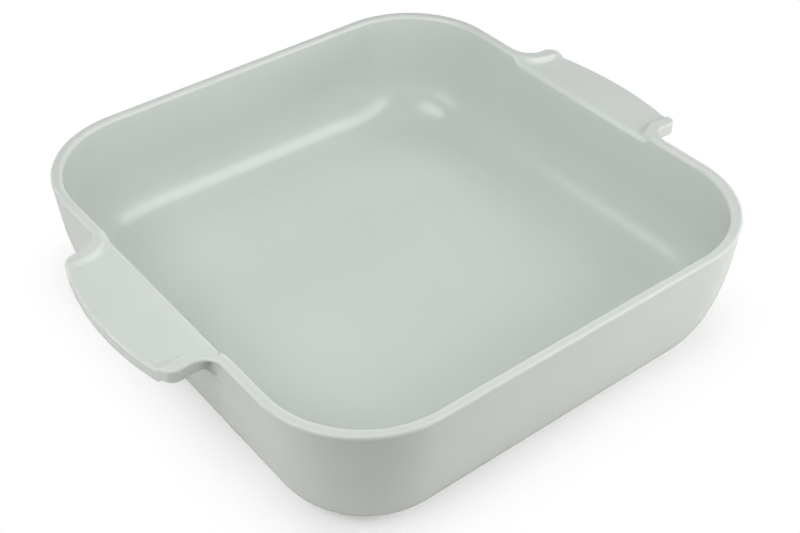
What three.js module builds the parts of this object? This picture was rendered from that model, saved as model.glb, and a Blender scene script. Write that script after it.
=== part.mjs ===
// Square stoneware baking dish with two lug handles: a glazed bowl on an unglazed foot.
// Millimetres, +Z up. The origin is on the table under the middle of the dish, +X runs out along a handle.
import * as THREE from 'three';

// Bowl
const rimLength = 280; // over the rim along X, without the handles
const rimWidth = 290; // over the rim along Y
const rimCornerRadius = 56;
const dishHeight = 76; // table to rim
const wallThickness = 5.5; // finished wall, glaze included
const wallTaper = 3.9; // degrees that the walls lean in towards the foot
const cornerTightening = 0.77; // fall of the corner radius for each millimetre that the wall comes in
const floorThickness = 7;
const rimInnerRounding = 2;
const rimOuterRounding = 1.3;

// Turn from the walls into the floor, inside and outside: elliptical, so each has a width and a height
const innerTurnWidth = 23;
const innerTurnHeight = 36;
const outerTurnWidth = 18;
const outerTurnHeight = 54;

// Handles: flat lugs, lower than the rim, whose ends carry the rim outwards as two ridges
const handleReach = 27.2; // from the rim's outer edge to the middle of the lug's edge
const handleWidth = 101;
const handleEdgeRadius = 180; // bow of the lug's outer edge in plan
const handleTipRadius = 6.5;
const handleSweepRadius = 11; // hollow curve in plan that leads the rim out along the lug's end
const handleThickness = 7.9;
const handleDrop = 3.4; // lug's top below the rim at the wall
const handleDroop = 2.1; // further fall to its outer edge
const ridgeFall = 2.6; // fall of the ridges from the rim to their tips
const ridgeWidth = 6.5; // level top of the ridges along the lug's ends
const ridgeSlope = 3; // width of the slope from a ridge down to the lug's top
const handleInnerRounding = 3.5; // edge where the lug's top turns down into the bowl
const handleLowerRounding = 1.6;
const handleRootFillet = 6; // under the lug, against the wall
const handleBlend = 13; // reach over which the plain wall swells into the lug's full section
const handleFairing = 0.35; // pull of the curves that cross a lug from wall to edge, as a share of their length

// Glaze and foot
const glazeThickness = 0.4;
const footHeight = 2;
const footWidth = 6;
const footInset = 1.5; // from the end of the outer glaze
const footChamfer = 0.6;

// Steps along each stretch of the outline, for a quarter of the dish, and around each rounding of the section
const edgeSteps = 3;
const tipSteps = 2;
const endSteps = 1;
const sweepSteps = 4;
const sideSteps = 1;
const cornerSteps = 8;
const backSteps = 1;
const turnSteps = 5;
const roundingSteps = 2;
const topSteps = 3;

const quarterTurn = Math.PI / 2;
const taperSlope = Math.tan(THREE.MathUtils.degToRad(wallTaper));
const halfLength = rimLength / 2;
const halfWidth = rimWidth / 2;
const { lerp, smoothstep } = THREE.MathUtils;
const steps = (count) => Array.from({ length: count }, (_, i) => (i + 1) / count);

// Place on the bowl's rounded-square outline, drawn in by inset. A station holds the share of the straight
// sides (along) and the direction of the corner's arc (turn), so the same station follows the wall down.
function ringPoint(station, inset) {
  const radius = rimCornerRadius - cornerTightening * inset;
  const centre = new THREE.Vector2(halfLength - inset - radius, halfWidth - inset - radius);
  return centre.multiply(station.along).addScaledVector(station.turn, radius);
}

// Plan of a lug's quarter: bowed edge, tip, end and sweep, each with its inward direction
const handleHalf = handleWidth / 2;
const edgeCentre = new THREE.Vector2(halfLength + handleReach - handleEdgeRadius, 0);
const tipCentreY = handleHalf - handleTipRadius;
const tipAngle = Math.asin(tipCentreY / (handleEdgeRadius - handleTipRadius));
const tipCentre = new THREE.Vector2(
  edgeCentre.x + (handleEdgeRadius - handleTipRadius) * Math.cos(tipAngle), tipCentreY);
const sweepCentre = new THREE.Vector2(halfLength + handleSweepRadius, handleHalf + handleSweepRadius);
const sideCentre = halfWidth - rimCornerRadius;

function arcPlace(centre, radius, angle, inwardSign) {
  const spoke = new THREE.Vector2(Math.cos(angle), Math.sin(angle));
  return {
    edge: centre.clone().addScaledVector(spoke, radius),
    inward: spoke.multiplyScalar(inwardSign),
  };
}

function lugOutline() {
  const places = [arcPlace(edgeCentre, handleEdgeRadius, 0, -1)];
  for (const f of steps(edgeSteps)) places.push(arcPlace(edgeCentre, handleEdgeRadius, tipAngle * f, -1));
  for (const f of steps(tipSteps)) {
    places.push(arcPlace(tipCentre, handleTipRadius, lerp(tipAngle, quarterTurn, f), -1));
  }
  for (const f of steps(endSteps)) {
    const x = lerp(tipCentre.x, sweepCentre.x, f);
    places.push({ edge: new THREE.Vector2(x, handleHalf), inward: new THREE.Vector2(0, -1) });
  }
  for (const f of steps(sweepSteps)) {
    places.push(arcPlace(sweepCentre, handleSweepRadius, -quarterTurn * (1 + f), 1));
  }
  return places;
}

// The lug's stations spread over the wall in step with the outline, closest along the bowed edge
function lugStations() {
  const places = lugOutline();
  let run = 0;
  const runs = places.map((place, i) => (run += i ? place.edge.distanceTo(places[i - 1].edge) : 0));
  const bend = edgeSteps + tipSteps + endSteps;
  const bendY = tipCentreY - handleTipRadius - ridgeSlope;
  return places.map((place, i) => {
    const share = i <= bend ? runs[i] / runs[bend] : (runs[i] - runs[bend]) / (run - runs[bend]);
    const y = i <= bend ? bendY * share : lerp(bendY, sweepCentre.y, share);
    return { ...place, along: new THREE.Vector2(1, y / sideCentre), turn: new THREE.Vector2(1, 0) };
  });
}

function wallStation(alongX, alongY, angle) {
  const turn = new THREE.Vector2(Math.cos(angle), Math.sin(angle));
  const station = { along: new THREE.Vector2(alongX, alongY), turn };
  return { ...station, edge: ringPoint(station, 0), inward: turn.clone().negate() };
}

function quarterStations() {
  const stations = lugStations();
  const sideStart = sweepCentre.y / sideCentre;
  for (const f of steps(sideSteps)) stations.push(wallStation(1, lerp(sideStart, 1, f), 0));
  for (const f of steps(cornerSteps)) stations.push(wallStation(1, 1, quarterTurn * f));
  for (const f of steps(backSteps)) stations.push(wallStation(1 - f, 1, quarterTurn));
  return stations;
}

function mirrored(station, signX, signY) {
  const sign = new THREE.Vector2(signX, signY);
  const copy = {};
  for (const [name, value] of Object.entries(station)) copy[name] = value.clone().multiply(sign);
  return copy;
}

// All the way round, anticlockwise from the middle of the +X lug
function allStations() {
  const quarter = quarterStations();
  const last = quarter.length - 1;
  const forward = quarter.slice(0, last);
  const backward = quarter.slice(1).reverse();
  return [
    ...forward.map((s) => mirrored(s, 1, 1)),
    ...backward.map((s) => mirrored(s, -1, 1)),
    ...forward.map((s) => mirrored(s, -1, -1)),
    ...backward.map((s) => mirrored(s, 1, -1)),
  ];
}

// Share of ridge at a place: 1 on the rim and on the ridges, 0 on the lug's lower top
function ridgeShare(place) {
  const x = Math.abs(place.x);
  const y = Math.abs(place.y);
  const sweep = new THREE.Vector2(x, y).distanceTo(sweepCentre) - handleSweepRadius;
  const side = halfLength - x;
  const end = x > sweepCentre.x ? handleHalf - y : sweep;
  const distance = y > sweepCentre.y ? Math.min(side, ridgeWidth) : end;
  return 1 - smoothstep(distance, ridgeWidth, ridgeWidth + ridgeSlope);
}

// Fall of the finished top surface below the rim
function topFall(place) {
  const outward = THREE.MathUtils.clamp((Math.abs(place.x) - halfLength) / handleReach, 0, 1);
  return lerp(handleDrop + handleDroop * outward, ridgeFall * outward, ridgeShare(place));
}

const raised = (place, fall) => new THREE.Vector3(place.x, place.y, dishHeight - fall);

// Smooth plan path from the wall out to the edge of a lug, square to both. At the edge it stays within the tip's arc,
// so that neighbouring paths don't cross.
function planPath(wallPlace, outward, edgePlace, inward) {
  const wallPull = wallPlace.distanceTo(edgePlace) * handleFairing;
  const edgePull = Math.min(wallPull, handleTipRadius - rimOuterRounding);
  return new THREE.CubicBezierCurve(wallPlace, wallPlace.clone().addScaledVector(outward, wallPull),
    edgePlace.clone().addScaledVector(inward, edgePull), edgePlace);
}

const innerDepth = dishHeight - footHeight - floorThickness;
const outerDepth = dishHeight - footHeight + glazeThickness;
const outerTurnStart = outerDepth - outerTurnHeight;
const lugUnderside = handleDrop + handleThickness;
const rootDepth = lugUnderside + handleRootFillet;
const baseInset = taperSlope * outerDepth + outerTurnWidth;

// Share of lug at a station: 0 on the plain rim, 1 where the lug stands clear of the wall
function lugShare(station) {
  const reach = station.edge.distanceTo(ringPoint(station, 0));
  return smoothstep(reach, 0, handleBlend);
}

// Inside of the bowl, floor to the start of the rim's rounding
function innerSection(station, edgeFall, rounding) {
  const points = [];
  for (const f of [0, ...steps(turnSteps)]) {
    const angle = quarterTurn * (1 - f);
    const depth = innerDepth - innerTurnHeight * (1 - Math.sin(angle));
    const inset = wallThickness + taperSlope * depth + innerTurnWidth * (1 - Math.cos(angle));
    points.push(raised(ringPoint(station, inset), depth));
  }
  const depth = edgeFall + rounding;
  points.push(raised(ringPoint(station, wallThickness + taperSlope * depth), depth));
  return points;
}

// Rim, or the lug's top, from the inner rounding to the outermost edge
function topSection(station, edgeFall, rounding) {
  const points = [];
  for (const f of steps(roundingSteps)) {
    const angle = quarterTurn * f;
    const lowerInset = wallThickness + taperSlope * (edgeFall + rounding);
    const inset = lerp(lowerInset, wallThickness - rounding, 1 - Math.cos(angle));
    points.push(raised(ringPoint(station, inset), edgeFall + rounding * (1 - Math.sin(angle))));
  }
  const end = station.edge.clone().addScaledVector(station.inward, rimOuterRounding);
  const rimMiddle = (wallThickness - rounding + rimOuterRounding) / 2;
  const seam = ringPoint(station, lerp(rimMiddle, 0, lugShare(station)));
  const path = planPath(seam, station.turn, end, station.inward);
  for (const f of [0, ...steps(topSteps)]) {
    const place = path.getPoint(f);
    points.push(raised(place, topFall(place)));
  }
  const fall = topFall(end);
  for (const f of steps(roundingSteps)) {
    const angle = quarterTurn * f;
    const place = station.edge.clone().addScaledVector(station.inward, rimOuterRounding * (1 - Math.sin(angle)));
    points.push(raised(place, fall + rimOuterRounding * (1 - Math.cos(angle))));
  }
  return points;
}

// Below the outermost edge to the root of the lug: the lug's underside, or the top of a plain wall
function underSection(station) {
  const lug = lugShare(station);
  const edgeFall = topFall(station.edge.clone().addScaledVector(station.inward, rimOuterRounding));
  const start = station.edge.clone().addScaledVector(station.inward, handleLowerRounding * lug);
  const end = ringPoint(station, taperSlope * lugUnderside).addScaledVector(station.turn, handleRootFillet * lug);
  const path = planPath(end, station.turn, start, station.inward);
  const points = [];
  const drop = edgeFall + handleThickness;
  const rounding = handleLowerRounding;
  for (const f of steps(roundingSteps)) {
    const angle = quarterTurn * f;
    const place = station.edge.clone().addScaledVector(station.inward, rounding * lug * (1 - Math.cos(angle)));
    const wallDepth = lerp(rimOuterRounding, lugUnderside - rounding, f);
    const wallPlace = ringPoint(station, taperSlope * wallDepth);
    const lugDepth = drop - rounding * (1 - Math.sin(angle));
    points.push(raised(wallPlace.lerp(place, lug), lerp(wallDepth, lugDepth, lug)));
  }
  for (const f of steps(roundingSteps)) {
    const wallDepth = lerp(lugUnderside - rounding, lugUnderside, f);
    const wallPlace = ringPoint(station, taperSlope * wallDepth);
    const place = path.getPoint(1 - f);
    points.push(raised(wallPlace.lerp(place, lug), lerp(wallDepth, lerp(drop, lugUnderside, f), lug)));
  }
  for (const f of steps(roundingSteps)) {
    const angle = quarterTurn * f;
    const depth = lerp(lerp(lugUnderside, rootDepth, f), rootDepth - handleRootFillet * Math.cos(angle), lug);
    const place = ringPoint(station, taperSlope * depth);
    points.push(raised(place.addScaledVector(station.turn, handleRootFillet * lug * (1 - Math.sin(angle))), depth));
  }
  return points;
}

// Outer wall below the handles, down to the end of the glaze
function outerSection(station) {
  const points = [];
  for (const f of [0, ...steps(turnSteps)]) {
    const angle = quarterTurn * f;
    const depth = outerTurnStart + outerTurnHeight * Math.sin(angle);
    const inset = taperSlope * depth + outerTurnWidth * (1 - Math.cos(angle));
    points.push(raised(ringPoint(station, inset), depth));
  }
  return points;
}

function section(station) {
  const innerEdge = ringPoint(station, wallThickness);
  const edgeFall = topFall(innerEdge);
  const rounding = lerp(handleInnerRounding, rimInnerRounding, ridgeShare(innerEdge));
  return [
    ...innerSection(station, edgeFall, rounding),
    ...topSection(station, edgeFall, rounding),
    ...underSection(station),
    ...outerSection(station),
  ];
}

const stations = allStations();
const stationCount = stations.length;
const next = (t) => (t + 1) % stationCount;
const wrap = (t) => (t + stationCount) % stationCount;

// Rows of the section: outermost edge, where the lug meets the wall above and below, and the end of the glaze
const edgeRow = 1 + turnSteps + roundingSteps + 1 + topSteps + roundingSteps;
const seamTopRow = 1 + turnSteps + roundingSteps + 1;
const seamFootRow = edgeRow + 3 * roundingSteps;
const glazeEndRow = seamFootRow + 1 + turnSteps;

const glazeSurface = stations.map(section);

// Clay surface: one glaze thickness inside the finished surface
function claySurface(surface) {
  const up = new THREE.Vector3(0, 0, 1);
  return surface.map((points, t) => points.map((point, row) => {
    const normal = new THREE.Vector3();
    if (row === 0) normal.copy(up);
    else if (row === glazeEndRow) normal.copy(up).negate();
    else {
      const around = surface[next(t)][row].clone().sub(surface[wrap(t - 1)][row]);
      normal.subVectors(points[row + 1], points[row - 1]).cross(around).normalize();
    }
    return point.clone().addScaledVector(normal, -glazeThickness);
  }));
}
const clay = claySurface(glazeSurface);

// Two triangles over a four-sided patch, and ways to gather them
const patch = (a, b, c, d) => [[a, b, c], [a, c, d]];
const flipped = (triangles) => triangles.map(([a, b, c]) => [a, c, b]);

// The diagonals of the cells mirror from quarter to quarter, as the dish does
function cell(surface, t, row) {
  const corners = [surface[t][row], surface[t][row + 1], surface[next(t)][row + 1], surface[next(t)][row]];
  const mirrorQuarter = Math.floor((4 * t) / stationCount) % 2;
  if (mirrorQuarter) corners.push(corners.shift());
  return patch(...corners);
}

function band(surface, fromRow, toRow) {
  const triangles = [];
  for (let t = 0; t < stationCount; t++) {
    for (let row = fromRow; row < toRow; row++) triangles.push(...cell(surface, t, row));
  }
  return triangles;
}

function strip(ringA, ringB) {
  return ringA.flatMap((point, t) => patch(point, ringB[t], ringB[next(t)], ringA[next(t)]));
}

function fan(centre, ring) {
  return ring.map((point, t) => [centre, point, ring[next(t)]]);
}

const ringAt = (surface, row) => surface.map((points) => points[row]);

// Closed geometry from triangles that share their corner points
function closedGeometry(triangles) {
  const places = new Map();
  const positions = [];
  const index = triangles.flat().map((corner) => {
    if (!places.has(corner)) {
      places.set(corner, places.size);
      positions.push(corner.x, corner.y, corner.z);
    }
    return places.get(corner);
  });
  const geometry = new THREE.BufferGeometry();
  geometry.setAttribute('position', new THREE.Float32BufferAttribute(positions, 3));
  geometry.setIndex(index);
  geometry.computeVertexNormals();
  return geometry;
}

// Lugs: the stations each one covers, from the middle of one sweep to the middle of the other
const lugHalfSpan = edgeSteps + tipSteps + endSteps + sweepSteps / 2;
const lugMiddles = { handle_right: 0, handle_left: stationCount / 2 };
const lugSpan = (middle) => Array.from({ length: 2 * lugHalfSpan }, (_, i) => wrap(middle - lugHalfSpan + i));

// End face of a lug: the section at one station, fanned from the top of its root
function endFace(t) {
  const triangles = [];
  for (let row = seamTopRow + 1; row < seamFootRow; row++) {
    triangles.push([clay[t][seamTopRow], clay[t][row], clay[t][row + 1]]);
  }
  return triangles;
}

// Seat of a lug on the bowl: root face along the wall, and the two end faces
function lugSeat(middle) {
  const span = lugSpan(middle);
  const root = span.flatMap((t) => {
    const u = next(t);
    return patch(clay[t][seamTopRow], clay[t][seamFootRow], clay[u][seamFootRow], clay[u][seamTopRow]);
  });
  return [...root, ...endFace(span[0]), ...flipped(endFace(next(span.at(-1))))];
}

function lugTriangles(middle) {
  const skin = [];
  for (const t of lugSpan(middle)) {
    for (let row = seamTopRow; row < seamFootRow; row++) skin.push(...cell(clay, t, row));
  }
  return [...skin, ...flipped(lugSeat(middle))];
}

// Foot: a bare ring under the bowl, its top on the bowl's underside
const underside = (inset, z) => stations.map((station) => {
  const place = ringPoint(station, inset);
  return new THREE.Vector3(place.x, place.y, z);
});
const footOuter = baseInset + footInset;
const footInner = footOuter + footWidth;
const footTopOuter = underside(footOuter, footHeight);
const footTopInner = underside(footInner, footHeight);

function footTriangles() {
  const rings = [
    footTopInner,
    footTopOuter,
    underside(footOuter, footChamfer),
    underside(footOuter + footChamfer, 0),
    underside(footInner - footChamfer, 0),
    underside(footInner, footChamfer),
  ];
  return rings.flatMap((ring, i) => strip(ring, rings[(i + 1) % rings.length]));
}

function bowlTriangles() {
  const covered = new Set(Object.values(lugMiddles).flatMap(lugSpan));
  const skin = [];
  for (let t = 0; t < stationCount; t++) {
    for (let row = 0; row < glazeEndRow; row++) {
      const inLug = covered.has(t) && row >= seamTopRow && row < seamFootRow;
      if (!inLug) skin.push(...cell(clay, t, row));
    }
  }
  const floorMiddle = new THREE.Vector3(0, 0, clay[0][0].z);
  const baseMiddle = new THREE.Vector3(0, 0, footHeight);
  return [
    ...fan(floorMiddle, ringAt(clay, 0)),
    ...skin,
    ...Object.values(lugMiddles).flatMap(lugSeat),
    ...strip(ringAt(clay, glazeEndRow), footTopOuter),
    ...strip(footTopOuter, footTopInner),
    ...flipped(fan(baseMiddle, footTopInner)),
  ];
}

function innerGlazeTriangles() {
  const glazeMiddle = new THREE.Vector3(0, 0, glazeSurface[0][0].z);
  const clayMiddle = new THREE.Vector3(0, 0, clay[0][0].z);
  return [
    ...fan(glazeMiddle, ringAt(glazeSurface, 0)),
    ...band(glazeSurface, 0, edgeRow),
    ...strip(ringAt(glazeSurface, edgeRow), ringAt(clay, edgeRow)),
    ...flipped(band(clay, 0, edgeRow)),
    ...flipped(fan(clayMiddle, ringAt(clay, 0))),
  ];
}

function outerGlazeTriangles() {
  return [
    ...flipped(strip(ringAt(glazeSurface, edgeRow), ringAt(clay, edgeRow))),
    ...band(glazeSurface, edgeRow, glazeEndRow),
    ...strip(ringAt(glazeSurface, glazeEndRow), ringAt(clay, glazeEndRow)),
    ...flipped(band(clay, edgeRow, glazeEndRow)),
  ];
}

const bareClay = { color: 0xd8cbb4, roughness: 0.85, metalness: 0 };
const footClay = { color: 0xcdbda3, roughness: 0.9, metalness: 0 };
const sageGlaze = { color: 0xc6cec5, roughness: 0.28, metalness: 0 };

function piece(name, triangles, finish) {
  const mesh = new THREE.Mesh(closedGeometry(triangles), new THREE.MeshStandardMaterial(finish));
  mesh.name = name;
  return mesh;
}

const dish = new THREE.Group();
dish.name = 'square_baking_dish';
dish.add(piece('bowl_body', bowlTriangles(), bareClay));
for (const [name, middle] of Object.entries(lugMiddles)) dish.add(piece(name, lugTriangles(middle), bareClay));
dish.add(piece('foot_ring', footTriangles(), footClay));
dish.add(piece('inner_glaze', innerGlazeTriangles(), sageGlaze));
dish.add(piece('outer_glaze', outerGlazeTriangles(), sageGlaze));

export default dish;
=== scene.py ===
import bpy
import math
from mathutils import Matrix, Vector


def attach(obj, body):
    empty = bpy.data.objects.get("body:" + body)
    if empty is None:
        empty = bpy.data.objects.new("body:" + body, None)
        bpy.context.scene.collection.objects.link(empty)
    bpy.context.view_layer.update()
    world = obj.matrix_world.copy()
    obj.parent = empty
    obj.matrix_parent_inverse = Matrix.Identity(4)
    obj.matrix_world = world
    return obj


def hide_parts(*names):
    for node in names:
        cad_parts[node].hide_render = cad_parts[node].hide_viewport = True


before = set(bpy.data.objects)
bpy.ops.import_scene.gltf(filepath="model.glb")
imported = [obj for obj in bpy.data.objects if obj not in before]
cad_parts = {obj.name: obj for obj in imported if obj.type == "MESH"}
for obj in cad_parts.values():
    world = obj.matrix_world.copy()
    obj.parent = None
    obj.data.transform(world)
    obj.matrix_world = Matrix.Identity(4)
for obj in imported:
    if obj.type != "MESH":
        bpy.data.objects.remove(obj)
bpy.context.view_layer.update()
print("frame loaded:", len(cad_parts), "nodes")

millimetre = 0.001
quarterTurn = math.pi / 2

bowlShape = {  # millimetres, degrees of taper and a share for the corners, the same as in the solids
    "rimLength": 280, "rimWidth": 290, "cornerRadius": 56, "height": 76,
    "wall": 5.5, "taper": 3.9, "cornerTightening": 0.77, "floor": 7,
    "rimInnerRound": 2, "rimOuterRound": 1.3,
    "innerTurnWidth": 23, "innerTurnHeight": 36,
    "outerTurnWidth": 18, "outerTurnHeight": 54,
    "glaze": 0.4, "footHeight": 2,
}

lugShape = {  # millimetres, the fairing as a share; as in the solids, with a tighter inner lip
    "reach": 27.2, "width": 101, "edgeRadius": 180, "tipRadius": 6.5, "sweepRadius": 11,
    "thickness": 7.9, "drop": 3.4, "droop": 2.1, "ridgeFall": 2.6, "ridgeWidth": 6.5, "ridgeSlope": 3,
    "innerRound": 2.2, "lowerRound": 1.6, "rootFillet": 6, "blend": 13, "fairing": 0.35,
}

meshSteps = {  # how finely the smooth pieces are drawn, for a quarter of the outline and for the section
    "edge": 18, "tip": 20, "end": 12, "sweep": 28, "side": 5, "corner": 24, "back": 9,
    "turn": 16, "wall": 4, "rounding": 6, "top": 40,
}

halfLength = bowlShape["rimLength"] / 2
halfWidth = bowlShape["rimWidth"] / 2
taperSlope = math.tan(math.radians(bowlShape["taper"]))


def mix(a, b, t):
    return a + (b - a) * t


def ease(x, low, high):
    t = min(max((x - low) / (high - low), 0), 1)
    return t * t * (3 - 2 * t)


def steps(count):
    return [(i + 1) / count for i in range(count)]


# place on the rounded square drawn in by inset:
# each station keeps its share of the sides and its corner direction
def ringPoint(station, inset):
    radius = bowlShape["cornerRadius"] - bowlShape["cornerTightening"] * inset
    along, turn = station["along"], station["turn"]
    return Vector((
        (halfLength - inset - radius) * along.x + radius * turn.x,
        (halfWidth - inset - radius) * along.y + radius * turn.y))


lugHalf = lugShape["width"] / 2
edgeCentre = Vector((halfLength + lugShape["reach"] - lugShape["edgeRadius"], 0))
tipY = lugHalf - lugShape["tipRadius"]
tipSpoke = lugShape["edgeRadius"] - lugShape["tipRadius"]
tipAngle = math.asin(tipY / tipSpoke)
tipCentre = Vector((edgeCentre.x + tipSpoke * math.cos(tipAngle), tipY))
sweepCentre = Vector((halfLength + lugShape["sweepRadius"], lugHalf + lugShape["sweepRadius"]))
sideCentre = halfWidth - bowlShape["cornerRadius"]


def arcPlace(centre, radius, angle, inwardSign):
    spoke = Vector((math.cos(angle), math.sin(angle)))
    return {"edge": centre + spoke * radius, "inward": spoke * inwardSign}


def lugOutline():
    places = [arcPlace(edgeCentre, lugShape["edgeRadius"], 0, -1)]
    for f in steps(meshSteps["edge"]):
        places.append(arcPlace(edgeCentre, lugShape["edgeRadius"], tipAngle * f, -1))
    for f in steps(meshSteps["tip"]):
        places.append(arcPlace(tipCentre, lugShape["tipRadius"], mix(tipAngle, quarterTurn, f), -1))
    for f in steps(meshSteps["end"]):
        edge = Vector((mix(tipCentre.x, sweepCentre.x, f), lugHalf))
        places.append({"edge": edge, "inward": Vector((0, -1))})
    for f in steps(meshSteps["sweep"]):
        places.append(arcPlace(sweepCentre, lugShape["sweepRadius"], -quarterTurn * (1 + f), 1))
    return places


def wallStation(alongX, alongY, angle):
    station = {"along": Vector((alongX, alongY)), "turn": Vector((math.cos(angle), math.sin(angle)))}
    station["edge"] = ringPoint(station, 0)
    station["inward"] = -station["turn"]
    return station


def quarterStations():
    places = lugOutline()
    runs = [0]
    for before, after in zip(places, places[1:]):
        runs.append(runs[-1] + (after["edge"] - before["edge"]).length)
    bend = meshSteps["edge"] + meshSteps["tip"] + meshSteps["end"]
    bendY = tipY - lugShape["tipRadius"] - lugShape["ridgeSlope"]
    for i, place in enumerate(places):
        if i <= bend:
            y = bendY * runs[i] / runs[bend]
        else:
            y = mix(bendY, sweepCentre.y, (runs[i] - runs[bend]) / (runs[-1] - runs[bend]))
        place["along"] = Vector((1, y / sideCentre))
        place["turn"] = Vector((1, 0))
    sideStart = sweepCentre.y / sideCentre
    places += [wallStation(1, mix(sideStart, 1, f), 0) for f in steps(meshSteps["side"])]
    places += [wallStation(1, 1, quarterTurn * f) for f in steps(meshSteps["corner"])]
    places += [wallStation(1 - f, 1, quarterTurn) for f in steps(meshSteps["back"])]
    return places


def mirrored(station, signX, signY):
    return {name: Vector((v.x * signX, v.y * signY)) for name, v in station.items()}


# all the way round, anticlockwise from the middle of the right lug
def allStations():
    quarter = quarterStations()
    forward, backward = quarter[:-1], quarter[:0:-1]
    return ([mirrored(s, 1, 1) for s in forward] + [mirrored(s, -1, 1) for s in backward]
            + [mirrored(s, -1, -1) for s in forward] + [mirrored(s, 1, -1) for s in backward])


# 1 on the rim and the ridges, 0 on the lower top of a lug
def ridgeShare(place):
    x, y = abs(place.x), abs(place.y)
    if y > sweepCentre.y:
        distance = min(halfLength - x, lugShape["ridgeWidth"])
    elif x > sweepCentre.x:
        distance = lugHalf - y
    else:
        distance = (Vector((x, y)) - sweepCentre).length - lugShape["sweepRadius"]
    return 1 - ease(distance, lugShape["ridgeWidth"], lugShape["ridgeWidth"] + lugShape["ridgeSlope"])


def topFall(place):
    outward = min(max((abs(place.x) - halfLength) / lugShape["reach"], 0), 1)
    plate = lugShape["drop"] + lugShape["droop"] * outward
    return mix(plate, lugShape["ridgeFall"] * outward, ridgeShare(place))


def lugShare(station):
    return ease((station["edge"] - ringPoint(station, 0)).length, 0, lugShape["blend"])


def raised(place, fall):
    return Vector((place.x, place.y, bowlShape["height"] - fall))


# from the wall out to the edge, square to both
def planPath(wallPlace, outward, edgePlace, inward, f):
    wallPull = (wallPlace - edgePlace).length * lugShape["fairing"]
    edgePull = min(wallPull, lugShape["tipRadius"] - bowlShape["rimOuterRound"])
    a, b = wallPlace + outward * wallPull, edgePlace + inward * edgePull
    g = 1 - f
    return wallPlace * g ** 3 + a * (3 * g * g * f) + b * (3 * g * f * f) + edgePlace * f ** 3


innerDepth = bowlShape["height"] - bowlShape["footHeight"] - bowlShape["floor"]
outerDepth = bowlShape["height"] - bowlShape["footHeight"] + bowlShape["glaze"]
outerTurnStart = outerDepth - bowlShape["outerTurnHeight"]
lugUnderside = lugShape["drop"] + lugShape["thickness"]
rootDepth = lugUnderside + lugShape["rootFillet"]


# inside of the bowl: floor turn and wall
def innerSection(station, lipDepth):
    points = []
    for f in [0] + steps(meshSteps["turn"]):
        angle = quarterTurn * (1 - f)
        depth = innerDepth - bowlShape["innerTurnHeight"] * (1 - math.sin(angle))
        inset = bowlShape["wall"] + taperSlope * depth + bowlShape["innerTurnWidth"] * (1 - math.cos(angle))
        points.append(raised(ringPoint(station, inset), depth))
    turnEnd = innerDepth - bowlShape["innerTurnHeight"]
    for f in steps(meshSteps["wall"]):
        depth = mix(turnEnd, lipDepth, f)
        points.append(raised(ringPoint(station, bowlShape["wall"] + taperSlope * depth), depth))
    return points


# rim or top of a lug, out to the outermost edge
def topSection(station, lipFall, rounding):
    points = []
    lowInset = bowlShape["wall"] + taperSlope * (lipFall + rounding)
    for f in steps(meshSteps["rounding"]):
        angle = quarterTurn * f
        inset = mix(lowInset, bowlShape["wall"] - rounding, 1 - math.cos(angle))
        points.append(raised(ringPoint(station, inset), lipFall + rounding * (1 - math.sin(angle))))
    outer = bowlShape["rimOuterRound"]
    end = station["edge"] + station["inward"] * outer
    rimMiddle = (bowlShape["wall"] - rounding + outer) / 2
    seam = ringPoint(station, mix(rimMiddle, 0, lugShare(station)))
    for f in [0] + steps(meshSteps["top"]):
        place = planPath(seam, station["turn"], end, station["inward"], f)
        points.append(raised(place, topFall(place)))
    fall = topFall(end)
    for f in steps(meshSteps["rounding"]):
        angle = quarterTurn * f
        place = station["edge"] + station["inward"] * outer * (1 - math.sin(angle))
        points.append(raised(place, fall + outer * (1 - math.cos(angle))))
    return points


# below the outermost edge to the root of the lug, or the top of a plain wall
def underSection(station):
    lug = lugShare(station)
    rounding = lugShape["lowerRound"]
    fillet = lugShape["rootFillet"]
    edgeFall = topFall(station["edge"] + station["inward"] * bowlShape["rimOuterRound"])
    drop = edgeFall + lugShape["thickness"]
    start = station["edge"] + station["inward"] * rounding * lug
    end = ringPoint(station, taperSlope * lugUnderside) + station["turn"] * fillet * lug
    points = []
    for f in steps(meshSteps["rounding"]):
        angle = quarterTurn * f
        place = station["edge"] + station["inward"] * rounding * lug * (1 - math.cos(angle))
        wallDepth = mix(bowlShape["rimOuterRound"], lugUnderside - rounding, f)
        wallPlace = ringPoint(station, taperSlope * wallDepth)
        lugDepth = drop - rounding * (1 - math.sin(angle))
        points.append(raised(wallPlace.lerp(place, lug), mix(wallDepth, lugDepth, lug)))
    for f in steps(meshSteps["rounding"]):
        wallDepth = mix(lugUnderside - rounding, lugUnderside, f)
        wallPlace = ringPoint(station, taperSlope * wallDepth)
        place = planPath(end, station["turn"], start, station["inward"], 1 - f)
        lugDepth = mix(drop, lugUnderside, f)
        points.append(raised(wallPlace.lerp(place, lug), mix(wallDepth, lugDepth, lug)))
    for f in steps(meshSteps["rounding"]):
        angle = quarterTurn * f
        depth = mix(mix(lugUnderside, rootDepth, f), rootDepth - fillet * math.cos(angle), lug)
        place = ringPoint(station, taperSlope * depth) + station["turn"] * fillet * lug * (1 - math.sin(angle))
        points.append(raised(place, depth))
    return points


# outer wall below the lugs, and its turn into the base
def outerSection(station):
    points = []
    for f in [0] + steps(meshSteps["turn"]):
        angle = quarterTurn * f
        depth = outerTurnStart + bowlShape["outerTurnHeight"] * math.sin(angle)
        inset = taperSlope * depth + bowlShape["outerTurnWidth"] * (1 - math.cos(angle))
        points.append(raised(ringPoint(station, inset), depth))
    return points


def section(station):
    lip = ringPoint(station, bowlShape["wall"])
    lipFall = topFall(lip)
    rounding = mix(lugShape["innerRound"], bowlShape["rimInnerRound"], ridgeShare(lip))
    return (innerSection(station, lipFall + rounding) + topSection(station, lipFall, rounding)
            + underSection(station) + outerSection(station))


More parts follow.
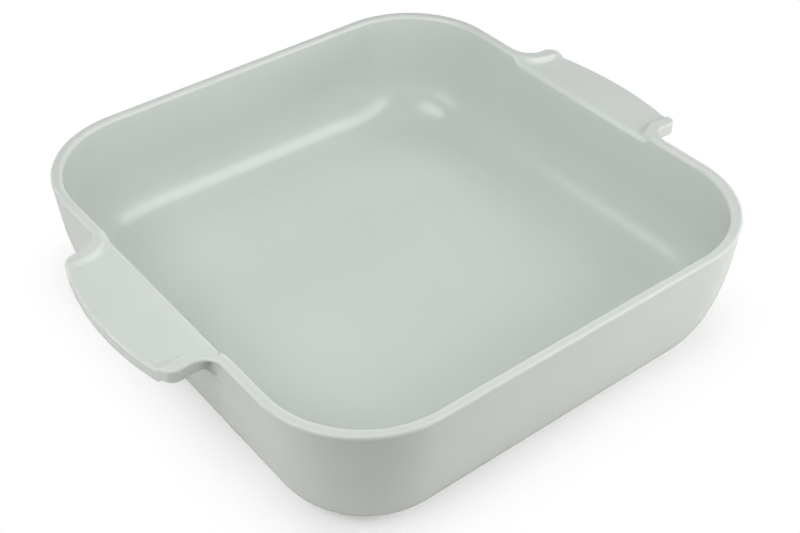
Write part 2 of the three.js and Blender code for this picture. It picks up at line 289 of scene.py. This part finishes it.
stations = allStations()
stationCount = len(stations)
glazeRows = [section(station) for station in stations]
rowCount = len(glazeRows[0])
seamTopRow = 1 + meshSteps["turn"] + meshSteps["wall"] + meshSteps["rounding"]
edgeRow = seamTopRow + meshSteps["top"] + meshSteps["rounding"]
underRuns = 3  # lower edge, underside and root of a lug
seamFootRow = edgeRow + underRuns * meshSteps["rounding"]
seamRows = range(seamTopRow, seamFootRow + 1)


# clay lies one glaze thickness inside the finished surface
def clayGrid():
    grid = []
    for t, points in enumerate(glazeRows):
        after, before = glazeRows[(t + 1) % stationCount], glazeRows[t - 1]
        row = []
        for r, point in enumerate(points):
            if r == 0:
                normal = Vector((0, 0, 1))
            elif r == rowCount - 1:
                normal = Vector((0, 0, -1))
            else:
                normal = (points[r + 1] - points[r - 1]).cross(after[r] - before[r]).normalized()
            row.append(point - normal * bowlShape["glaze"])
        grid.append(row)
    return grid


clayRows = clayGrid()
print("outline drawn:", stationCount, "stations,", rowCount, "rows")


def addObject(name, data):
    obj = bpy.data.objects.new(name, data)
    bpy.context.scene.collection.objects.link(obj)
    return obj


class Builder:  # gathers points and faces for one piece
    def __init__(self):
        self.points = []
        self.faces = []

    def ring(self, places):
        first = len(self.points)
        self.points += [tuple(p * millimetre) for p in places]
        return list(range(first, first + len(places)))

    def strip(self, ringA, ringB):
        for t in range(len(ringA)):
            u = (t + 1) % len(ringA)
            self.faces.append((ringA[t], ringB[t], ringB[u], ringA[u]))

    def cap(self, ring, centre, upward):
        middle = self.ring([centre])[0]
        for t in range(len(ring)):
            u = (t + 1) % len(ring)
            self.faces.append((middle, ring[t], ring[u]) if upward else (middle, ring[u], ring[t]))

    def piece(self, name, material, nodes):
        mesh = bpy.data.meshes.new(name)
        mesh.from_pydata(self.points, [], self.faces)
        mesh.polygons.foreach_set("use_smooth", [True] * len(mesh.polygons))
        mesh.validate()
        obj = addObject(name, mesh)
        mesh.materials.append(material)
        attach(obj, "root")
        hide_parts(*nodes)
        return obj


def nodeTree(name):
    material = bpy.data.materials.new(name)
    material.use_nodes = True
    tree = material.node_tree
    return material, tree, tree.nodes["Principled BSDF"]


def addNode(tree, kind, settings=None, links=None):
    node = tree.nodes.new(kind)
    for key, value in (settings or {}).items():
        if isinstance(key, int) or key in node.inputs:
            node.inputs[key].default_value = value
        else:
            setattr(node, key, value)
    for key, source in (links or {}).items():
        tree.links.new(source, node.inputs[key])
    return node


def mixColour(tree, factor, colourA, colourB):
    node = tree.nodes.new("ShaderNodeMix")
    node.data_type = "RGBA"
    for key, value in ((0, factor), (6, colourA), (7, colourB)):  # the sockets of a colour mix
        if hasattr(value, "is_output"):
            tree.links.new(value, node.inputs[key])
        else:
            node.inputs[key].default_value = value
    return node.outputs[2]


def remap(tree, source, low, high, newLow, newHigh):
    limits = {"From Min": low, "From Max": high, "To Min": newLow, "To Max": newHigh}
    return addNode(tree, "ShaderNodeMapRange", limits, {"Value": source}).outputs["Result"]


def noiseField(tree, where, scale, detail, roughness=0.5):
    settings = {"Scale": scale, "Detail": detail, "Roughness": roughness}
    return addNode(tree, "ShaderNodeTexNoise", settings, {"Vector": where}).outputs["Fac"]


def unevenGloss(tree, source, limits, roughness, spread):
    return remap(tree, source, *limits, roughness - spread / 2, roughness + spread / 2)


glazeFinish = {
    "colour": (0.572, 0.608, 0.575, 1),  # pale sage
    "deepColour": (0.545, 0.584, 0.549, 1),  # where the coat gathers
    "thinColour": (0.604, 0.636, 0.604, 1),  # over edges
    "deepShare": 0.6, "thinShare": 0.75,  # how far the colour goes towards those two
    "cloudScale": 16, "cloudDetail": 4, "cloudRoughness": 0.55, "cloudRange": (0.35, 0.7), "cloudShare": 0.55,
    "fleckColour": (0.400, 0.430, 0.370, 1),
    "fleckScale": 950, "fleckRim": (0.16, 0.34), "fleckChoice": (0.965, 0.985), "fleckStrength": 0.32,
    "roughness": 0.22, "roughnessRange": 0.05, "patchScale": 55, "patchDetail": 3, "patchRange": (0.3, 0.7),
    "waveScale": 34, "waveHeight": 0.00022, "peelScale": 330, "peelHeight": 0.00003, "bumpDetail": 2,
    "refraction": 1.5,
}
coatShape = {  # depth of the coat: 0 over an edge, 1 in a hollow
    "open": 0.5, "baseEdge": 0.3,  # on plain walls, and where it ends under the base
    "edgeBend": 0.30, "hollowBend": 0.05,  # bends per millimetre at which it is thinnest and deepest
}


def makeGlaze():
    finish = glazeFinish
    material, tree, shader = nodeTree("sageGlaze")
    where = addNode(tree, "ShaderNodeTexCoord").outputs["Object"]
    cloud = noiseField(tree, where, finish["cloudScale"], finish["cloudDetail"], finish["cloudRoughness"])
    clouded = remap(tree, cloud, *finish["cloudRange"], 0, finish["cloudShare"])
    base = mixColour(tree, clouded, finish["colour"], finish["deepColour"])
    coat = addNode(tree, "ShaderNodeAttribute", {"attribute_name": "coatDepth"}).outputs["Fac"]
    deep = remap(tree, coat, coatShape["open"], 1, 0, finish["deepShare"])
    base = mixColour(tree, deep, base, finish["deepColour"])
    thin = remap(tree, coat, coatShape["open"], 0, 0, finish["thinShare"])
    base = mixColour(tree, thin, base, finish["thinColour"])
    fleck = addNode(tree, "ShaderNodeTexVoronoi", {"Scale": finish["fleckScale"]}, {"Vector": where})
    chosen = addNode(tree, "ShaderNodeSeparateColor", links={"Color": fleck.outputs["Color"]}).outputs["Red"]
    spot = addNode(tree, "ShaderNodeMath", {"operation": "MULTIPLY"}, {
        0: remap(tree, fleck.outputs["Distance"], *finish["fleckRim"], 1, 0),
        1: remap(tree, chosen, *finish["fleckChoice"], 0, finish["fleckStrength"])}).outputs[0]
    base = mixColour(tree, spot, base, finish["fleckColour"])
    tree.links.new(base, shader.inputs["Base Color"])
    patch = noiseField(tree, where, finish["patchScale"], finish["patchDetail"])
    gloss = unevenGloss(tree, patch, finish["patchRange"], finish["roughness"], finish["roughnessRange"])
    tree.links.new(gloss, shader.inputs["Roughness"])
    wave = noiseField(tree, where, finish["waveScale"], finish["bumpDetail"])
    peel = noiseField(tree, where, finish["peelScale"], finish["bumpDetail"])
    waveBump = addNode(tree, "ShaderNodeBump", {"Distance": finish["waveHeight"]}, {"Height": wave})
    peelBump = addNode(tree, "ShaderNodeBump", {"Distance": finish["peelHeight"]},
                       {"Height": peel, "Normal": waveBump.outputs["Normal"]})
    tree.links.new(peelBump.outputs["Normal"], shader.inputs["Normal"])
    shader.inputs["IOR"].default_value = finish["refraction"]
    return material


clayFinish = {
    "bowl": {"colour": (0.640, 0.540, 0.400, 1), "dark": (0.500, 0.405, 0.285, 1), "roughness": 0.82},
    "foot": {"colour": (0.560, 0.460, 0.330, 1), "dark": (0.380, 0.300, 0.210, 1), "roughness": 0.88},
    "stainScale": 22, "stainDetail": 6, "stainRoughness": 0.6, "stainRange": (0.35, 0.75), "stainShare": 0.7,
    "grainScale": 900, "grainDetail": 3, "grainRange": (0.58, 0.72), "grainShare": 0.6, "grainHeight": 0.00012,
    "glossRange": (0.3, 0.7), "roughnessRange": 0.12,
}


def makeClay(name, finish):
    clay = clayFinish
    material, tree, shader = nodeTree(name)
    where = addNode(tree, "ShaderNodeTexCoord").outputs["Object"]
    stain = noiseField(tree, where, clay["stainScale"], clay["stainDetail"], clay["stainRoughness"])
    grain = noiseField(tree, where, clay["grainScale"], clay["grainDetail"])
    stained = remap(tree, stain, *clay["stainRange"], 0, clay["stainShare"])
    base = mixColour(tree, stained, finish["colour"], finish["dark"])
    grained = remap(tree, grain, *clay["grainRange"], 0, clay["grainShare"])
    base = mixColour(tree, grained, base, finish["dark"])
    tree.links.new(base, shader.inputs["Base Color"])
    gloss = unevenGloss(tree, stain, clay["glossRange"], finish["roughness"], clay["roughnessRange"])
    tree.links.new(gloss, shader.inputs["Roughness"])
    bump = addNode(tree, "ShaderNodeBump", {"Distance": clay["grainHeight"]}, {"Height": grain})
    tree.links.new(bump.outputs["Normal"], shader.inputs["Normal"])
    return material


sageGlaze = makeGlaze()
bowlClay = makeClay("bowlClay", clayFinish["bowl"])
footClay = makeClay("footClay", clayFinish["foot"])
print("finishes mixed")

tinyArea = 1e-9
tinySpan = 1e-6


# how much the surface bends both ways, more than 0 over an edge and less in a hollow
def bendAt(t, r):
    if r in (0, rowCount - 1):
        return 0
    here = glazeRows[t][r]
    around = (glazeRows[t - 1][r], glazeRows[(t + 1) % stationCount][r])
    across = (glazeRows[t][r - 1], glazeRows[t][r + 1])
    square = (across[1] - across[0]).cross(around[1] - around[0])
    normal = square.normalized() if square.length > tinyArea else Vector((0, 0, 1))
    bend = 0
    for a, b in (around, across):
        span = max((b - here).length * (here - a).length, tinySpan)
        bend += (here * 2 - a - b).dot(normal) / span
    return bend


# thin where the glaze runs off an edge, deep where it gathers in a hollow
def coatDepths():
    depths = []
    for r in range(rowCount):
        for t in range(stationCount):
            bend = bendAt(t, r)
            if bend > 0:
                depths.append(mix(coatShape["open"], 0, min(bend / coatShape["edgeBend"], 1)))
            else:
                depths.append(mix(coatShape["open"], 1, min(-bend / coatShape["hollowBend"], 1)))
    return depths


floorShares = (0.8, 0.55, 0.3)  # rings across the flat floor


def makeGlazeCoat():
    build = Builder()
    rings = [build.ring([glazeRows[t][r] for t in range(stationCount)]) for r in range(rowCount)]
    for a, b in zip(rings, rings[1:]):
        build.strip(a, b)
    depths = coatDepths()
    floorZ = glazeRows[0][0].z
    inner = rings[0]
    for f in floorShares:
        ring = build.ring([Vector((row[0].x * f, row[0].y * f, floorZ)) for row in glazeRows])
        depths += [coatShape["open"]] * stationCount
        build.strip(ring, inner)
        inner = ring
    build.cap(inner, Vector((0, 0, floorZ)), True)
    depths.append(coatShape["open"])
    under = build.ring([row[-1] for row in clayRows])
    depths += [coatShape["baseEdge"]] * stationCount
    build.strip(rings[-1], under)
    obj = build.piece("glazeCoat", sageGlaze, ["inner_glaze", "outer_glaze"])
    values = obj.data.attributes.new("coatDepth", "FLOAT", "POINT")
    values.data.foreach_set("value", depths)


# the clay of a lug ends half way along its sweep into the wall
lugHalfSpan = meshSteps["edge"] + meshSteps["tip"] + meshSteps["end"] + meshSteps["sweep"] // 2
lugMiddles = {"handle_right": 0, "handle_left": stationCount // 2}


def lugSpan(middle):
    return [(middle - lugHalfSpan + i) % stationCount for i in range(2 * lugHalfSpan + 1)]


def makeLug(nodeName, pieceName):
    build = Builder()
    span = lugSpan(lugMiddles[nodeName])
    columns = [build.ring([clayRows[t][r] for r in seamRows]) for t in span]
    for a, b in zip(columns, columns[1:]):
        for r in range(len(a) - 1):
            build.faces.append((a[r], a[r + 1], b[r + 1], b[r]))
        build.faces.append((a[0], b[0], b[-1], a[-1]))  # root face against the wall
    build.faces.append(tuple(reversed(columns[0])))
    build.faces.append(tuple(columns[-1]))
    build.piece(pieceName, bowlClay, [nodeName])


footShape = {"width": 6, "inset": 1.5, "chamfer": 0.6, "chamferBow": 0.3}  # millimetres, the bow as a share
baseInset = taperSlope * outerDepth + bowlShape["outerTurnWidth"]
footOuter = baseInset + footShape["inset"]
footInner = footOuter + footShape["width"]


def underRing(inset, z):
    return [Vector((*ringPoint(station, inset), z)) for station in stations]


def makeBowl():
    build = Builder()
    rings = [build.ring([clayRows[t][r] for t in range(stationCount)]) for r in range(rowCount)]
    covered = {t for middle in lugMiddles.values() for t in lugSpan(middle)[:-1]}
    for r in range(rowCount - 1):
        for t in range(stationCount):
            u = (t + 1) % stationCount
            if t in covered and seamTopRow <= r < seamFootRow:
                continue
            build.faces.append((rings[r][t], rings[r + 1][t], rings[r + 1][u], rings[r][u]))
    seamTop, seamFoot = rings[seamTopRow], rings[seamFootRow]
    for t in covered:  # seat of a lug on the wall
        u = (t + 1) % stationCount
        build.faces.append((seamTop[t], seamFoot[t], seamFoot[u], seamTop[u]))
    for middle in lugMiddles.values():
        span = lugSpan(middle)
        build.faces.append(tuple(rings[r][span[0]] for r in seamRows))
        build.faces.append(tuple(rings[r][span[-1]] for r in reversed(seamRows)))
    build.cap(rings[0], Vector((0, 0, clayRows[0][0].z)), True)
    lip = build.ring(underRing(footOuter, bowlShape["footHeight"]))
    build.strip(rings[-1], lip)
    build.cap(lip, Vector((0, 0, bowlShape["footHeight"])), False)
    build.piece("bowlBody", bowlClay, ["bowl_body"])


def makeFoot():
    build = Builder()
    top, chamfer = bowlShape["footHeight"], footShape["chamfer"]
    bow = chamfer * footShape["chamferBow"]
    profile = [(footInner, top), (footOuter, top),
               (footOuter, chamfer), (footOuter + bow, bow), (footOuter + chamfer, 0),
               (footInner - chamfer, 0), (footInner - bow, bow), (footInner, chamfer)]
    rings = [build.ring(underRing(inset, z)) for inset, z in profile]
    for i, ring in enumerate(rings):
        build.strip(ring, rings[(i + 1) % len(rings)])
    build.piece("footRing", footClay, ["foot_ring"])


makeGlazeCoat()
makeLug("handle_right", "lugRight")
makeLug("handle_left", "lugLeft")
makeBowl()
makeFoot()
print("dish built")

tableTop = {
    "half": 3.0, "colour": (0.905, 0.895, 0.875, 1),
    "seenColour": (1, 1, 1, 1), "lift": 0.35,  # as the camera sees it
    "base": (0.105, 0.110, 0), "fadeEnd": 0.06,  # the shadow thins out to white away from the base
}


def makeTable():
    half = tableTop["half"]
    mesh = bpy.data.meshes.new("tableTop")
    corners = [(-half, -half, 0), (half, -half, 0), (half, half, 0), (-half, half, 0)]
    mesh.from_pydata(corners, [], [(0, 1, 2, 3)])
    obj = addObject("tableTop", mesh)
    material = bpy.data.materials.new("whiteTable")
    material.use_nodes = True
    tree = material.node_tree
    tree.nodes.clear()
    out = tree.nodes.new("ShaderNodeOutputMaterial")
    matt = addNode(tree, "ShaderNodeBsdfDiffuse", {"Color": tableTop["colour"]}).outputs[0]
    seenMatt = addNode(tree, "ShaderNodeBsdfDiffuse", {"Color": tableTop["seenColour"]}).outputs[0]
    white = addNode(tree, "ShaderNodeEmission", {"Color": tableTop["seenColour"], "Strength": 1}).outputs[0]
    place = addNode(tree, "ShaderNodeTexCoord").outputs["Object"]
    side = addNode(tree, "ShaderNodeVectorMath", {"operation": "ABSOLUTE"}, {0: place}).outputs["Vector"]
    past = addNode(tree, "ShaderNodeVectorMath", {"operation": "SUBTRACT", 1: tableTop["base"]},
                   {0: side}).outputs["Vector"]
    beyond = addNode(tree, "ShaderNodeVectorMath", {"operation": "MAXIMUM", 1: (0, 0, 0)},
                     {0: past}).outputs["Vector"]
    away = addNode(tree, "ShaderNodeVectorMath", {"operation": "LENGTH"}, {0: beyond}).outputs["Value"]
    fading = {"interpolation_type": "SMOOTHSTEP", "From Max": tableTop["fadeEnd"],
              "To Min": tableTop["lift"], "To Max": 1}
    fade = addNode(tree, "ShaderNodeMapRange", fading, {"Value": away}).outputs["Result"]
    view = addNode(tree, "ShaderNodeMixShader", links={0: fade, 1: seenMatt, 2: white}).outputs[0]
    seen = addNode(tree, "ShaderNodeLightPath").outputs["Is Camera Ray"]
    surface = addNode(tree, "ShaderNodeMixShader", links={0: seen, 1: matt, 2: view})
    tree.links.new(surface.outputs[0], out.inputs["Surface"])
    mesh.materials.append(material)


makeTable()

studioLight = {  # soft boxes, cards and fills in metres and watts; some leave no reflection in the glaze
    "rightBox": {"at": (0.336, -0.581, 0.486), "size": (0.75, 0.27), "power": 2.75},
    "rightCard": {"at": (0.571, -0.400, 0.111), "size": (0.80, 0.15), "power": 1.75, "reflects": False},
    "leftCard": {"at": (-0.666, 0.178, 0.172), "size": (0.60, 0.30), "power": 1.35},
    "cornerBox": {"at": (-0.600, -0.040, 0.700), "size": (0.58, 0.31), "power": 2.4},
    "backFill": {"at": (0.400, 0.480, 0.700), "size": (0.60, 0.40), "power": 1.45, "reflects": False},
    "bowlFill": {"at": (-0.050, -0.060, 0.400), "size": (0.40, 0.30), "power": 0.89, "reflects": False,
                 "aim": (0.100, 0.110, 0.030)},
    "topFill": {"at": (0.100, 0.100, 1.000), "size": (1.50, 1.50), "power": 0.5, "reflects": False},
}
studioAim = (0, 0, 0.05)  # the middle of the dish
backdrop = {  # white to the eye up to a height, dim above, with next to no light of its own
    "colour": (1, 1, 1, 1), "fill": 0.02, "whiteTo": 0.30, "dimFrom": 0.50, "dim": 0.12,
}


def pointAt(obj, at, aim):
    obj.location = at
    obj.rotation_euler = (Vector(aim) - Vector(at)).to_track_quat("-Z", "Y").to_euler()


def addSoftBox(name, setting):
    lamp = bpy.data.lights.new(name, "AREA")
    lamp.shape = "RECTANGLE"
    lamp.size, lamp.size_y = setting["size"]
    lamp.energy = setting["power"]
    obj = addObject(name, lamp)
    obj.visible_glossy = setting.get("reflects", True)
    pointAt(obj, setting["at"], setting.get("aim", studioAim))


for boxName, boxSetting in studioLight.items():
    addSoftBox(boxName, boxSetting)


# the white surroundings show to the camera and in reflections, and hardly light the dish
def whiteForSight(tree):
    path = addNode(tree, "ShaderNodeLightPath").outputs
    sight = path["Is Camera Ray"]
    for ray in ("Is Glossy Ray", "Is Transmission Ray"):
        sight = addNode(tree, "ShaderNodeMath", {"operation": "MAXIMUM"}, {0: sight, 1: path[ray]}).outputs[0]
    return sight


def makeWorld():
    world = bpy.data.worlds.new("studio")
    bpy.context.scene.world = world
    world.use_nodes = True
    tree = world.node_tree
    tree.nodes.clear()
    out = tree.nodes.new("ShaderNodeOutputWorld")
    fill = addNode(tree, "ShaderNodeBackground", {"Color": backdrop["colour"], "Strength": backdrop["fill"]})
    way = addNode(tree, "ShaderNodeTexCoord").outputs["Generated"]
    up = addNode(tree, "ShaderNodeSeparateXYZ", links={"Vector": way}).outputs["Z"]
    level = remap(tree, up, backdrop["whiteTo"], backdrop["dimFrom"], 1, backdrop["dim"])
    white = addNode(tree, "ShaderNodeBackground", {"Color": backdrop["colour"]}, {"Strength": level})
    surface = addNode(tree, "ShaderNodeMixShader", links={
        0: whiteForSight(tree), 1: fill.outputs[0], 2: white.outputs[0]})
    tree.links.new(surface.outputs[0], out.inputs["Surface"])


makeWorld()
print("studio lit")

photoView = {
    "at": (-0.33765, -0.43782, 0.48033), "aim": (-0.03752, -0.05617, 0.076),
    "lens": 59.86, "sensor": 36, "clipStart": 0.01,
}


def addCamera():
    lens = bpy.data.cameras.new("photoCamera")
    lens.lens = photoView["lens"]
    lens.sensor_width = photoView["sensor"]
    lens.sensor_fit = "HORIZONTAL"
    lens.clip_start = photoView["clipStart"]
    obj = addObject("photoCamera", lens)
    pointAt(obj, photoView["at"], photoView["aim"])
    bpy.context.scene.camera = obj


addCamera()
bpy.context.scene.view_settings.view_transform = "Standard"
